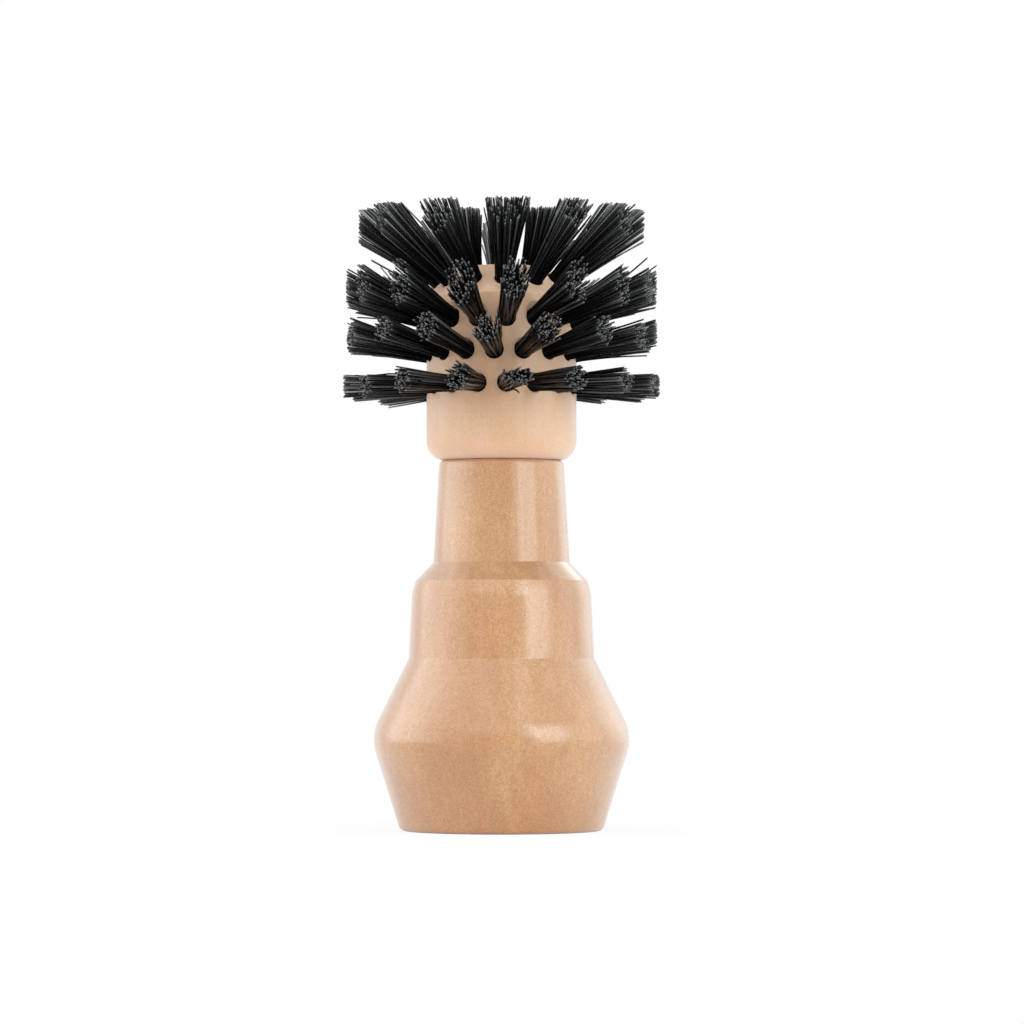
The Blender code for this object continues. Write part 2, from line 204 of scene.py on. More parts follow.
# Mesh fineness
FINE_STEPS = 192
SMALL_STEPS = 96
HOLE_SIDES = 24
ARC_STEP = math.radians(4)
LEAST_ARC_STEPS = 3
ROUNDING_SHARE = 0.9
MERGE_DISTANCE = 0.000001
SMOOTH_ANGLE = math.radians(28)
TUBE_SMOOTH_ANGLE = math.radians(75)

# Guards against dividing by nothing, or by next to nothing
TINY = 1e-12
LEAST_RISE = 1e-6
LEAST_CROSS = 1e-3

# Which of a tuft's two finishes a face has
SIDE_FINISH = 0
CUT_FINISH = 1

# Sockets of a Mix node that hold its colours
MIX_FIRST = 6
MIX_SECOND = 7
MIX_RESULT = 2

# Noise textures, with their cells a metre along each axis: fewer cells make longer ones
Texture = namedtuple("Texture", "scale detail distortion roughness", defaults=(0.0, 0.5))
TONE_TEXTURE = Texture((85.0, 85.0, 34.0), 3.0, 0.6)
GRAIN_TEXTURE = Texture((640.0, 640.0, 30.0), 3.0, 0.3)
SPECKLE_TEXTURE = Texture((1900.0, 1900.0, 1500.0), 1.5, 2.4)
FLECK_TEXTURE = Texture((1500.0, 1500.0, 800.0), 1.0, 2.2)
PATCH_TEXTURE = Texture((130.0, 130.0, 80.0), 1.0)
PEEL_TEXTURE = Texture((420.0, 420.0, 300.0), 4.0, 0.5, 0.6)
DRAWN_TEXTURE = Texture((5000.0, 5000.0, 900.0), 2.0)
SCUFF_TEXTURE = Texture((9000.0, 9000.0, 9000.0), 2.0)
TOOL_MARK_TEXTURE = Texture((300.0, 300.0, 9000.0), 3.0)
MIDDLE_RANGE = (0.3, 0.7)

# Bumps of the surfaces
Bump = namedtuple("Bump", "distance strength")
SPECKLE_BUMP = Bump(0.00003, 0.25)
PEEL_BUMP = Bump(0.0001, 0.40)
DRAWN_BUMP = Bump(0.00002, 0.3)
TOOL_MARK_BUMP = Bump(0.00001, 0.3)

# Woods: three tones, and how much of the flecks, grain, mottle, lacquer and sheen shows
Wood = namedtuple(
    "Wood",
    "name tones fleck fleck_share grain_share mottle_share roughness "
    "coat_share coat_roughness coat_ior sheen_share",
)
HANDLE_WOOD = Wood(
    name="lacquered_beech",
    tones=((0.525, 0.238, 0.076), (0.572, 0.281, 0.102), (0.617, 0.326, 0.135)),
    fleck=(0.46, 0.16, 0.030),
    fleck_share=0.40,
    grain_share=0.8,
    mottle_share=0.18,
    roughness=0.36,
    coat_share=1.0,
    coat_roughness=0.15,
    coat_ior=1.65,
    sheen_share=0.38,
)
HEAD_WOOD = Wood(
    name="pale_satin_beech",
    tones=((0.735, 0.428, 0.242), (0.775, 0.468, 0.275), (0.815, 0.510, 0.314)),
    fleck=(0.58, 0.30, 0.16),
    fleck_share=0.15,
    grain_share=0.3,
    mottle_share=0.035,
    roughness=0.42,
    coat_share=0.55,
    coat_roughness=0.30,
    coat_ior=1.5,
    sheen_share=0.4,
)

# What both woods have alike. The mottle darkens green and blue more than red.
TONE_STOPS = (0.32, 0.50, 0.64)
GRAIN_STOPS = ((0.32, (0.90, 0.875, 0.84)), (0.60, (1.0, 1.0, 1.0)))
MOTTLE_STOPS = (0.38, 0.60)
MOTTLE_RATIOS = (1.0, 1.7, 2.9)
MOTTLE_LIGHT = (1.05, 1.05, 1.05)
PATCH_WEIGHT = 0.45
FLECK_RANGE = (0.80, 0.90)
WOOD_ROUGHNESS_CHANGES = (-0.05, 0.07)
WOOD_SPECULAR = 0.15
SHEEN_ROUGHNESS = 0.7

# Bristles: the tones of single filaments, the palest of them painted highlight streaks, then how tone
# and gloss change along them, with painted shade darkening the roots and painted light lifting the tips
# The filaments' tones differ at random, and the palest are lifted to grey as painted highlight streaks
BRISTLE_TONE_AND_PAINTED_STREAK_STOPS = (
    (0.0, (0.0085, 0.0086, 0.0089)),
    (0.70, (0.0125, 0.0127, 0.0131)),
    (1.0, (0.115, 0.116, 0.119)),
)
# Painted shade: the filaments' colour darkens towards the root, where the tuft and the head shade it
ROOT_PAINTED_SHADE_RANGE = (0.15, 0.7)
ROOT_PAINTED_SHADE_SHARES = (0.45, 1.0)
# Painted light: a pale tone added near the tips lifts the shade in the gaps between the cut ends
TIP_PAINTED_LIGHT_RANGE = (0.95, 1.0)
TIP_PAINTED_LIGHT = (0.030, 0.030, 0.030, 1.0)
GLOSS_RANGE = (0.25, 0.9)
GLOSS_SHARES = (0.05, 1.0)
GLOSS_POWER = 5.0
GLOSS_RISE = 3.0
LEAST_GLOSS = 0.17
UNLINKED_GLOSS = 0.2
BRISTLE_ROUGHNESSES = (0.18, 0.38)
CUT_STOPS = ((0.0, (0.09, 0.09, 0.09)), (0.5, (0.15, 0.15, 0.15)), (1.0, (0.28, 0.28, 0.28)))
SCUFF_STOPS = ((0.35, (0.7, 0.7, 0.7)), (0.65, (1.0, 1.0, 1.0)))
CUT_ROUGHNESSES = (0.5, 0.75)
CUT_SPECULAR = 0.30

# Metals
Metal = namedtuple("Metal", "name dark light roughness")
STUD_METAL = Metal("zinc_steel", (0.42, 0.43, 0.44), (0.62, 0.63, 0.64), 0.32)
INSERT_METAL = Metal("brass", (0.58, 0.38, 0.13), (0.74, 0.54, 0.24), 0.28)
METAL_ROUGHNESS_CHANGES = (-0.06, 0.08)

# Surround, and the rays that see it white instead of being lit by it
WHITE = (1.0, 1.0, 1.0, 1.0)
FILL_STRENGTH = 0.52
SEEING_RAYS = ("Is Camera Ray", "Is Glossy Ray", "Is Transmission Ray")

# Floor, and how far its shadow shows from the axis before the white takes over
FLOOR_RADIUS = 0.36
FLOOR_SIDES = 96
FLOOR_COLOUR = (0.9, 0.9, 0.9, 1.0)
FOOT_SHADOW_RADIUS = 0.022
FOOT_SHADOW_REACH = 0.060
FOOT_WHITE_SHARE = 0.88
MIRRORED_SHADOW_REACH = 0.150
MIRRORED_WHITE_SHARE = 0.2

# Camera, from the photograph: the brush spans 0.182 mm a pixel at its axis
CAMERA_DISTANCE = 0.82
EYE_HEIGHT = 0.0346
AIM_HEIGHT = 0.0579
CAMERA_SIDE = 0.0019
FRAME_WIDTH = 0.18637
SENSOR_WIDTH = 36.0
NEAR_CLIP = 0.01

# Soft lamps, all aimed at the brush from one distance. Azimuth and elevation are in degrees, and
# azimuth runs from the camera's side towards +X. Each lamp fades towards its left, right, bottom
# and top edge, over a share of its size.
LAMP_DISTANCE = 1.0
Lamp = namedtuple(
    "Lamp",
    "name azimuth elevation width height radiance fade_shares tint",
    defaults=((1.0, 1.0, 1.0),),
)
LAMPS = (
    Lamp("strip_right", 48.0, 14.0, 0.74, 1.10, 3.0, (0.12, 0.30, 0.45, 0.35), (0.84, 0.95, 1.0)),
    Lamp("strip_wing", 26.0, 30.0, 0.36, 0.85, 1.6, (0.30, 0.15, 0.10, 0.35), (0.82, 0.95, 1.0)),
    Lamp("side_right", 84.0, 14.0, 1.20, 1.30, 0.8, (0.40, 0.40, 0.40, 0.40), (0.94, 0.98, 1.0)),
    Lamp("rim_right", 132.0, 20.0, 0.95, 1.30, 0.9, (0.40, 0.40, 0.35, 0.40), (0.86, 0.96, 1.0)),
    Lamp("rear_right", 160.0, 27.0, 0.60, 0.40, 2.4, (0.40, 0.40, 0.40, 0.40), (0.90, 0.97, 1.0)),
    Lamp("broad_left", -86.0, 24.0, 2.00, 1.60, 1.6, (0.25, 0.60, 0.30, 0.35), (0.93, 0.98, 1.0)),
    Lamp("low_left", -70.0, 2.0, 1.50, 0.70, 0.4, (0.35, 0.35, 0.40, 0.40)),
    Lamp("front_high", -20.0, 34.0, 1.20, 1.00, 1.0, (0.45, 0.45, 0.45, 0.45)),
    Lamp("top", 0.0, 80.0, 1.30, 1.10, 1.0, (0.30, 0.30, 0.30, 0.30)),
)

# A row of tufts: radius and height are where the hole's centre meets the head
Row = namedtuple(
    "Row",
    "name node count turn radius height lean trim_radius spread_across spread_up",
)


def tuft_rows(top, head_radius):
    """Every row of tufts, from the height of the head's top and the head's radius."""
    middle = HEAD_CHAMFER / 2
    crown_radius = head_radius - HEAD_CHAMFER - CROWN_EDGE_DISTANCE
    return [
        Row("filaments_row1", "tuft_row1", SIDE_ROW_COUNT, ROW1_TURN_ANGLE, head_radius,
            top - ROW1_DROP, ROW1_LEAN_ANGLE, LOW_TRIM_RADIUS, ROW1_SPREAD_ACROSS, ROW1_SPREAD_UP),
        Row("filaments_row2", "tuft_row2", SIDE_ROW_COUNT, ROW2_TURN_ANGLE, head_radius,
            top - ROW2_DROP, ROW2_LEAN_ANGLE, MIDDLE_TRIM_RADIUS, ROW2_SPREAD_ACROSS, ROW2_SPREAD_UP),
        Row("filaments_row3", "tuft_row3", SIDE_ROW_COUNT, ROW1_TURN_ANGLE, head_radius,
            top - ROW3_DROP, ROW3_LEAN_ANGLE, MIDDLE_TRIM_RADIUS, ROW3_SPREAD_ACROSS, ROW3_SPREAD_UP),
        Row("filaments_row4", "tufts_row4", ROW4_COUNT, ROW4_TURN_ANGLE, head_radius - middle,
            top - middle, ROW4_LEAN_ANGLE, HIGH_TRIM_RADIUS, ROW4_SPREAD_ACROSS, ROW4_SPREAD_UP),
        Row("filaments_crown", "tuft_crown", CROWN_COUNT, 0.0, crown_radius,
            top, CROWN_LEAN_ANGLE, HIGH_TRIM_RADIUS, CROWN_SPREAD, CROWN_SPREAD),
        Row("filaments_centre", "tuft_centre", 1, 0.0, 0.0,
            top, CENTRE_LEAN_ANGLE, HIGH_TRIM_RADIUS, CROWN_SPREAD, CROWN_SPREAD),
    ]


def new_object(name, data):
    """An object that holds a mesh, lamp or camera, in the scene."""
    made = bpy.data.objects.new(name, data)
    bpy.context.scene.collection.objects.link(made)
    return made


def corner_arc(to_before, corner, to_after, radius, room):
    """Points of the arc that rounds a corner of an outline and takes no more than its room."""
    half_angle = to_before.angle(to_after) / 2
    tangent = min(radius / math.tan(half_angle), room)
    radius = tangent * math.tan(half_angle)
    middle_line = (to_before.normalized() + to_after.normalized()).normalized()
    centre = corner + middle_line * radius / math.sin(half_angle)
    start = corner + to_before.normalized() * tangent - centre
    turn = start.angle_signed(corner + to_after.normalized() * tangent - centre)
    steps = max(LEAST_ARC_STEPS, math.ceil(abs(turn) / ARC_STEP))
    return [centre + Matrix.Rotation(-turn * step / steps, 2) @ start for step in range(steps + 1)]


def rounded_outline(corners):
    """An outline through corners of (radius, height, rounding), with the rounded ones as arcs."""
    places = [Vector(corner[:2]) for corner in corners]
    outline = []
    for index, place in enumerate(places):
        rounding = corners[index][2]
        if rounding > 0:
            sides = []
            room = math.inf
            for neighbour in (index - 1, (index + 1) % len(places)):
                side = places[neighbour] - place
                share = rounding / (rounding + corners[neighbour][2])
                sides.append(side)
                room = min(room, side.length * share * ROUNDING_SHARE)
            outline += corner_arc(sides[0], place, sides[1], rounding, room)
        else:
            outline.append(place)
    return outline


def turned_object(name, outline, steps, closed=False):
    """A solid of revolution about Z, from an outline that runs down its outer side."""
    mesh = bpy.data.meshes.new(name)
    edges = [(index, index + 1) for index in range(len(outline) - 1)]
    if closed:
        edges.append((len(outline) - 1, 0))
    mesh.from_pydata([(point.x, 0.0, point.y) for point in outline], edges, [])
    made = new_object(name, mesh)
    screw = made.modifiers.new("Turn", "SCREW")
    screw.steps = steps
    screw.render_steps = steps
    screw.use_merge_vertices = True
    screw.merge_threshold = MERGE_DISTANCE
    return made


def smooth(mesh, angle=SMOOTH_ANGLE):
    """Shade a mesh smooth between the edges that are sharper than an angle."""
    mesh.shade_smooth()
    mesh.set_sharp_from_angle(angle=angle)


def apply_modifiers(target):
    """Replace an object's mesh by its evaluated one, smooth between sharp edges."""
    bpy.context.view_layer.update()
    graph = bpy.context.evaluated_depsgraph_get()
    mesh = bpy.data.meshes.new_from_object(target.evaluated_get(graph), depsgraph=graph)
    target.modifiers.clear()
    target.data = mesh
    smooth(mesh)


def make_handle():
    """The handle as one fine turning, with the stud's bore in its top."""
    low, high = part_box("handle")
    bore_bottom = high.z - STUD_BORE_DEPTH
    corners = [
        (0.0, bore_bottom, 0.0),
        (STUD_BORE_RADIUS, bore_bottom, 0.0),
        (STUD_BORE_RADIUS, high.z, 0.0),
        (NECK_TOP_RADIUS, high.z, NECK_TOP_ROUND),
        (NECK_FOOT_RADIUS, NECK_FOOT_HEIGHT, NECK_FOOT_ROUND),
        (CREASE_RADIUS, CREASE_HEIGHT, CREASE_ROUND),
        (DRUM_TOP_RADIUS, DRUM_TOP_HEIGHT, DRUM_TOP_ROUND),
        (DRUM_FOOT_RADIUS, DRUM_FOOT_HEIGHT, DRUM_FOOT_ROUND),
        (BELLY_CORNER_RADIUS, BELLY_HEIGHT, BELLY_ROUND),
        (FOOT_RADIUS, low.z, FOOT_ROUND),
        (0.0, low.z, 0.0),
    ]
    made = turned_object("turned_handle", rounded_outline(corners), FINE_STEPS)
    apply_modifiers(made)
    made.data.materials.append(wood_finish(HANDLE_WOOD))
    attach(made, "handle")
    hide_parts("handle")


def tuft_frame(row):
    """The hole's mouth and the directions out of it, across it and up it, at zero turn."""
    lean = math.radians(row.lean)
    mouth = Vector((row.radius, 0.0, row.height))
    outward = Vector((math.cos(lean), 0.0, math.sin(lean)))
    across = Vector((0.0, 1.0, 0.0))
    return mouth, outward, across, outward.cross(across)


def turn_of(row, index):
    """The rotation about Z that takes a tuft from zero turn to its place in the row."""
    first = math.radians(row.turn + FRONT_ANGLE)
    return Matrix.Rotation(first + math.tau * index / row.count, 3, "Z")


def add_cutter_cone(mesh, row, index, near, far, near_radius, far_radius):
    """Add a hole's cone to a bmesh, between two distances out of its mouth."""
    mouth, outward, _, _ = tuft_frame(row)
    turn = turn_of(row, index)
    start = turn @ (mouth + outward * near)
    end = turn @ (mouth + outward * far)
    aim = (end - start).to_track_quat("Z", "Y").to_matrix().to_4x4()
    bmesh.ops.create_cone(
        mesh, cap_ends=True, segments=HOLE_SIDES, radius1=near_radius, radius2=far_radius,
        depth=(end - start).length, matrix=Matrix.Translation((start + end) / 2) @ aim,
    )


def cone_cutter(name, rows, near, far, near_radius, far_radius):
    """One cutter object with a cone at every hole."""
    cones = bmesh.new()
    for row in rows:
        for index in range(row.count):
            add_cutter_cone(cones, row, index, near, far, near_radius, far_radius)
    mesh = bpy.data.meshes.new(name)
    cones.to_mesh(mesh)
    cones.free()
    return new_object(name, mesh)


def make_head(rows, low, high, radius):
    """The head as a fine turning with a drilled hole and a broken rim for each tuft."""
    _, handle_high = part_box("handle")
    underside = handle_high.z + SEAM_GAP
    corners = [
        (0.0, high.z, 0.0),
        (radius - HEAD_CHAMFER, high.z, HEAD_EDGE_ROUND),
        (radius, high.z - HEAD_CHAMFER, HEAD_EDGE_ROUND),
        (radius, underside, HEAD_UNDERSIDE_ROUND),
        (FLANGE_SEAT_RADIUS, underside, 0.0),
        (FLANGE_SEAT_RADIUS, low.z + FLANGE_SEAT_DEPTH, 0.0),
        (INSERT_SEAT_RADIUS, low.z + FLANGE_SEAT_DEPTH, 0.0),
        (INSERT_SEAT_RADIUS, low.z + INSERT_SEAT_DEPTH, 0.0),
        (0.0, low.z + INSERT_SEAT_DEPTH, 0.0),
    ]
    made = turned_object("turned_head", rounded_outline(corners), FINE_STEPS)
    holes = cone_cutter("holes", rows, -HOLE_DEPTH, CUT_OVERRUN, HOLE_RADIUS, HOLE_RADIUS)
    rims = cone_cutter(
        "hole_rims", rows, -HOLE_RIM, CUT_OVERRUN, HOLE_RADIUS - HOLE_RIM, HOLE_RADIUS + CUT_OVERRUN,
    )
    for cutter in (holes, rims):
        cut = made.modifiers.new("Cut", "BOOLEAN")
        cut.operation = "DIFFERENCE"
        cut.object = cutter
    apply_modifiers(made)
    bpy.data.objects.remove(holes)
    bpy.data.objects.remove(rims)
    made.data.materials.append(wood_finish(HEAD_WOOD))
    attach(made, "head")
    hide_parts("brush_head")


def unit(vectors):
    """The vectors, each of length 1."""
    return vectors / np.linalg.norm(vectors, axis=-1, keepdims=True)


def reach_to_trim(points, directions, trim_radius, trim_height):
    """Distance of each point, along its direction, to the trimmed shape, and that face's normal."""
    level = (directions[:, :2] ** 2).sum(1) + TINY
    half = (points[:, :2] * directions[:, :2]).sum(1) / level
    rest = ((points[:, :2] ** 2).sum(1) - trim_radius**2) / level
    to_side = np.sqrt(half**2 - rest) - half
    rising = directions[:, 2] > LEAST_RISE
    climb = np.where(rising, directions[:, 2], 1)
    to_top = np.where(rising, (trim_height - points[:, 2]) / climb, np.inf)
    reach = np.minimum(to_side, to_top)
    side_normals = points + directions * reach[:, None]
    side_normals[:, 2] = 0
    top_normals = np.broadcast_to((0.0, 0.0, 1.0), side_normals.shape)
    normals = np.where((to_side < to_top)[:, None], unit(side_normals + TINY), top_normals)
    return reach, normals


def root_places(random):
    """Places of a tuft's filaments in a circle of radius 1: evenly packed, then disturbed."""
    number = np.arange(FILAMENTS_PER_TUFT)
    out = np.sqrt((number + 0.5) / FILAMENTS_PER_TUFT)
    angle = number * GOLDEN_ANGLE + random.uniform(0, math.tau)
    places = np.stack([out * np.cos(angle), out * np.sin(angle)], axis=1)
    return places + random.normal(0, PLACE_SCATTER_SHARE, places.shape)


def tip_places(roots, widths, random):
    """Where the filaments' tips are, across and up, and which of them have gone astray."""
    clumps = random.uniform(-CLUMP_PLACE_SHARE, CLUMP_PLACE_SHARE, (CLUMP_COUNT, 2))
    nearest = np.argmin(np.linalg.norm(roots[:, None] - clumps[None], axis=2), axis=1)
    pull_shares = CLUMP_SHARE * random.uniform(0, 1, (FILAMENTS_PER_TUFT, 1))
    tips = (roots + (clumps[nearest] - roots) * pull_shares) * widths
    tips += random.normal(0, TIP_SCATTER, (2, FILAMENTS_PER_TUFT)).T
    astray = random.uniform(0, 1, (FILAMENTS_PER_TUFT, 1)) < STRAY_SHARE
    tips += random.normal(0, STRAY_REACH, tips.shape) * astray
    return tips, astray


def filament_lines(row, nudge, random, trim_height):
    """Centre lines of one tuft's filaments at zero turn, and the normals and tilts of their cut ends."""
    mouth, outward, across, up = (np.array(vector) for vector in tuft_frame(row))
    tilt = random.normal(0, LEAN_SCATTER, 2) + np.radians((nudge.lean_across, nudge.lean_up))
    outward = unit(outward + across * tilt[0] + up * tilt[1])
    widths = random.normal(1, SPREAD_SCATTER_SHARE, 2) * (nudge.across_share, nudge.up_share)
    roots = root_places(random)
    tips, astray = tip_places(roots, widths * (row.spread_across, row.spread_up), random)

    plane = np.stack([across, up])
    near = roots @ plane * BUNDLE_RADIUS
    starts = mouth + near
    axis_reach, _ = reach_to_trim(mouth[None], outward[None], row.trim_radius, trim_height)
    directions = unit(outward * axis_reach + tips @ plane - near)
    reach, normals = reach_to_trim(starts, directions, row.trim_radius, trim_height)
    reach = reach - BEVEL_HEIGHT - np.abs(random.normal(0, CUT_SCATTER, FILAMENTS_PER_TUFT))
    tilts = random.normal(0, CUT_TILT, normals.shape)

    bend_size = np.where(astray, STRAY_BEND, BEND_SCATTER)
    bend = random.normal(0, 1, (2, FILAMENTS_PER_TUFT)).T @ plane * bend_size
    straight = outward * reach[:, None]
    fanned = directions * reach[:, None] - straight
    lines = [starts - outward * ROOT_DEPTH]
    for share in POINT_SHARES:
        point = starts + straight * share + fanned * share**FAN_POWER
        lines.append(point + bend * math.sin(math.pi * share))
    return np.stack(lines, axis=1), normals, tilts


def tube_points(lines, normals, tilts):
    """Rings of corners along the lines: the last two of each make its tilted and bevelled cut."""
    along = unit(lines[:, -1] - lines[:, 1])
    side = np.cross(along, (0.0, 0.0, 1.0))
    upright = np.linalg.norm(side, axis=1) < LEAST_CROSS
    side[upright] = (1.0, 0.0, 0.0)
    side = unit(side)
    other = np.cross(along, side)
    angle = np.arange(FILAMENT_SIDES) * math.tau / FILAMENT_SIDES
    ring = side[:, None] * np.cos(angle)[None, :, None] + other[:, None] * np.sin(angle)[None, :, None]
    radii = FILAMENT_RADIUS + (FILAMENT_END_RADIUS - FILAMENT_RADIUS) * np.array(RING_SHARES)
    radii[-1] *= 1 - BEVEL_SHARE
    centres = np.concatenate([lines, lines[:, -1:]], axis=1)
    points = centres[:, :, None] + ring[:, None] * radii[:, None, None]
    slope = np.maximum((along * normals).sum(1), LEAST_CUT_SLOPE)
    tilted = (ring * tilts[:, None]).sum(2)
    lift = (ring * normals[:, None]).sum(2) / slope[:, None] + tilted - tilted.min(1)[:, None]
    lift = lift * FILAMENT_END_RADIUS
    points[:, -2] -= along[:, None] * (lift + BEVEL_HEIGHT)[:, :, None]
    points[:, -1] -= along[:, None] * (lift * (1 - BEVEL_SHARE))[:, :, None]
    return points


def ring_faces(corner):
    """Faces between rows of corner numbers, each of which is a closed ring."""
    after = np.roll(corner, -1, axis=1)
    return np.stack([corner[:-1], after[:-1], after[1:], corner[1:]], axis=-1).reshape(-1, 4)


def tube_faces(count):
    """Faces of so many closed tubes, and the finish of each face."""
    corner = np.arange(len(RING_SHARES) * FILAMENT_SIDES).reshape(-1, FILAMENT_SIDES)
    sides = ring_faces(corner)
    faces = []
    for number in range(count):
        first = number * corner.size
        faces += (sides + first).tolist()
        faces.append((corner[0][::-1] + first).tolist())
        faces.append((corner[-1] + first).tolist())
    finishes = [SIDE_FINISH] * (len(sides) - FILAMENT_SIDES)
    finishes += [CUT_FINISH] * FILAMENT_SIDES
    finishes += [SIDE_FINISH, CUT_FINISH]
    return faces, finishes * count


def tube_mesh(name, lines, normals, tilts):
    """Closed tubes along the lines, whose corners know what share of the way they are."""
    count = len(lines)
    faces, finishes = tube_faces(count)
    mesh = bpy.data.meshes.new(name)
    mesh.from_pydata(tube_points(lines, normals, tilts).reshape(-1, 3).tolist(), [], faces)
    mesh.polygons.foreach_set("material_index", finishes)
    reached = mesh.attributes.new("reached", "FLOAT", "POINT")
    reached.data.foreach_set("value", np.tile(np.repeat(RING_SHARES, FILAMENT_SIDES), count))
    smooth(mesh, TUBE_SMOOTH_ANGLE)
    return mesh


def keep_in_trim(mesh, trim_radius, trim_height):
    """Move what stands out of the trimmed shape back onto it."""
    for corner in mesh.vertices:
        out = math.hypot(corner.co.x, corner.co.y) / trim_radius
        if out > 1:
            corner.co.x /= out
            corner.co.y /= out
        corner.co.z = min(corner.co.z, trim_height)


def make_tufts(rows):
    """One piece for each tuft, in place of its solid."""
    finishes = (bristle_finish(), cut_end_finish())
    _, centre_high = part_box("tuft_centre")
    for row_number, row in enumerate(rows):
        for index in range(row.count):
            random = np.random.default_rng([SEED, row_number, index])
            turn = np.array(turn_of(row, index))
            single = row.count == 1
            name = row.name if single else f"{row.name}_{index + 1:02d}"
            bundle = filament_lines(row, NUDGES.get(name, Nudge()), random, centre_high.z)
            mesh = tube_mesh(name, *(vectors @ turn.T for vectors in bundle))
            keep_in_trim(mesh, row.trim_radius, centre_high.z)
            made = new_object(name, mesh)
            for finish in finishes:
                made.data.materials.append(finish)
            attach(made, "head")
            whole_row = single or row.node == "tufts_row4"
            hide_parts(row.node if whole_row else f"{row.node}_{index + 1:02d}")


def thread_radius(height, angle, bottom, top, radius):
    """Radius of a threaded rod at a height and an angle."""
    phase = (height / THREAD_PITCH - angle / math.tau) % 1.0
    ridge = np.clip(THREAD_STEEPNESS * (1 - np.abs(2 * phase - 1)) - THREAD_ROOT_SHARE, 0, 1)
    threaded = radius - THREAD_DEPTH * (1 - ridge)
    end = np.minimum(height - bottom, top - height)
    return np.minimum(threaded, radius - STUD_CHAMFER + np.clip(end, 0, STUD_CHAMFER))


def make_stud():
    """The stud with its helical thread."""
    low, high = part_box("threaded_stud")
    radius = (high.x - low.x) / 2
    rows = round((high.z - low.z) / THREAD_PITCH * THREAD_STEPS_PER_TURN)
    heights = np.linspace(low.z, high.z, rows + 1)
    angles = np.arange(THREAD_SIDES) * math.tau / THREAD_SIDES
    height, angle = np.meshgrid(heights, angles, indexing="ij")
    around = thread_radius(height, angle, low.z, high.z, radius)
    points = np.stack([around * np.cos(angle), around * np.sin(angle), height], axis=-1)
    corner = np.arange(height.size).reshape(height.shape)
    faces = ring_faces(corner).tolist()
    faces.append(corner[0][::-1].tolist())
    faces.append(corner[-1].tolist())
    mesh = bpy.data.meshes.new("thread")
    mesh.from_pydata(points.reshape(-1, 3).tolist(), [], faces)
    smooth(mesh)
    made = new_object("stud_thread", mesh)
    made.data.materials.append(metal_finish(STUD_METAL))
    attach(made, "stud")
    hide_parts("threaded_stud")


def make_insert():
    """The flanged sleeve in the head, with broken edges."""
    low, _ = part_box("head_insert")
    corners = [
        (STUD_BORE_RADIUS, low.z + INSERT_LENGTH, INSERT_EDGE),
        (INSERT_RADIUS, low.z + INSERT_LENGTH, INSERT_EDGE),
        (INSERT_RADIUS, low.z + FLANGE_THICKNESS, 0.0),
        (FLANGE_RADIUS, low.z + FLANGE_THICKNESS, INSERT_EDGE),
        (FLANGE_RADIUS, low.z, INSERT_EDGE),
        (STUD_BORE_RADIUS, low.z, INSERT_EDGE),
    ]
    made = turned_object("flanged_insert", rounded_outline(corners), SMALL_STEPS, closed=True)
    apply_modifiers(made)
    made.data.materials.append(metal_finish(INSERT_METAL))
    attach(made, "head")
    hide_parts("head_insert")


def new_material(name):
    """An empty Principled material: the material, its tree and its shader."""
    made = bpy.data.materials.new(name)
    made.use_nodes = True
    return made, made.node_tree, made.node_tree.nodes["Principled BSDF"]


def add_node(tree, kind, inputs=None, **settings):
    """A node with its settings and unlinked input values."""
    made = tree.nodes.new(kind)
    for name, value in settings.items():
        setattr(made, name, value)
    for name, value in (inputs or {}).items():
        made.inputs[name].default_value = value
    return made


def feed(tree, value, socket):
    """Give an input socket a value, or a link from another node's socket."""
    if isinstance(value, bpy.types.NodeSocket):
        tree.links.new(value, socket)
    else:
        socket.default_value = value


def worked_out(tree, operation, *values):
    """The result of a Math node, where each value may be a number or a socket."""
    made = add_node(tree, "ShaderNodeMath", operation=operation)
    for socket, value in zip(made.inputs, values):
        feed(tree, value, socket)
    return made.outputs[0]


def worked_through(tree, operation, values):
    """The result of a Math node on the first two values, then on that and the next, and so on."""
    result = values[0]
    for value in values[1:]:
        result = worked_out(tree, operation, result, value)
    return result


def noise(tree, texture):
    """A noise texture in stretched object coordinates."""
    place = add_node(tree, "ShaderNodeTexCoord")
    mapping = add_node(tree, "ShaderNodeMapping", {"Scale": texture.scale})
    made = add_node(tree, "ShaderNodeTexNoise", {
        "Scale": 1.0,
        "Detail": texture.detail,
        "Distortion": texture.distortion,
        "Roughness": texture.roughness,
    })
    tree.links.new(place.outputs["Object"], mapping.inputs["Vector"])
    tree.links.new(mapping.outputs["Vector"], made.inputs["Vector"])
    return made.outputs["Fac"]


def ramp(tree, value, stops):
    """A colour ramp over a value, from (position, colour) stops."""
    made = add_node(tree, "ShaderNodeValToRGB")
    line = made.color_ramp
    while len(line.elements) < len(stops):
        line.elements.new(0.5)
    for element, (position, colour) in zip(line.elements, stops):
        element.position = position
        element.color = (*colour, 1.0)
    tree.links.new(value, made.inputs["Fac"])
    return made.outputs["Color"]


def mixed(tree, blend, factor, first, second):
    """Two colours mixed, where the factor and each colour may be a value or a socket."""
    made = add_node(tree, "ShaderNodeMix", data_type="RGBA", blend_type=blend)
    feed(tree, factor, made.inputs["Factor"])
    feed(tree, first, made.inputs[MIX_FIRST])
    feed(tree, second, made.inputs[MIX_SECOND])
    return made.outputs[MIX_RESULT]


def ranged(tree, value, given, wanted):
    """A value mapped from a given range onto a wanted one, and kept in it."""
    made = add_node(tree, "ShaderNodeMapRange", {
        "From Min": given[0],
        "From Max": given[1],
        "To Min": wanted[0],
        "To Max": wanted[1],
    })
    tree.links.new(value, made.inputs["Value"])
    return made.outputs["Result"]


def bumped(tree, height, bump, socket):
    """Bump from a height value, on one of a shader's normal sockets."""
    made = add_node(tree, "ShaderNodeBump", {"Distance": bump.distance, "Strength": bump.strength})
    tree.links.new(height, made.inputs["Height"])
    tree.links.new(made.outputs["Normal"], socket)


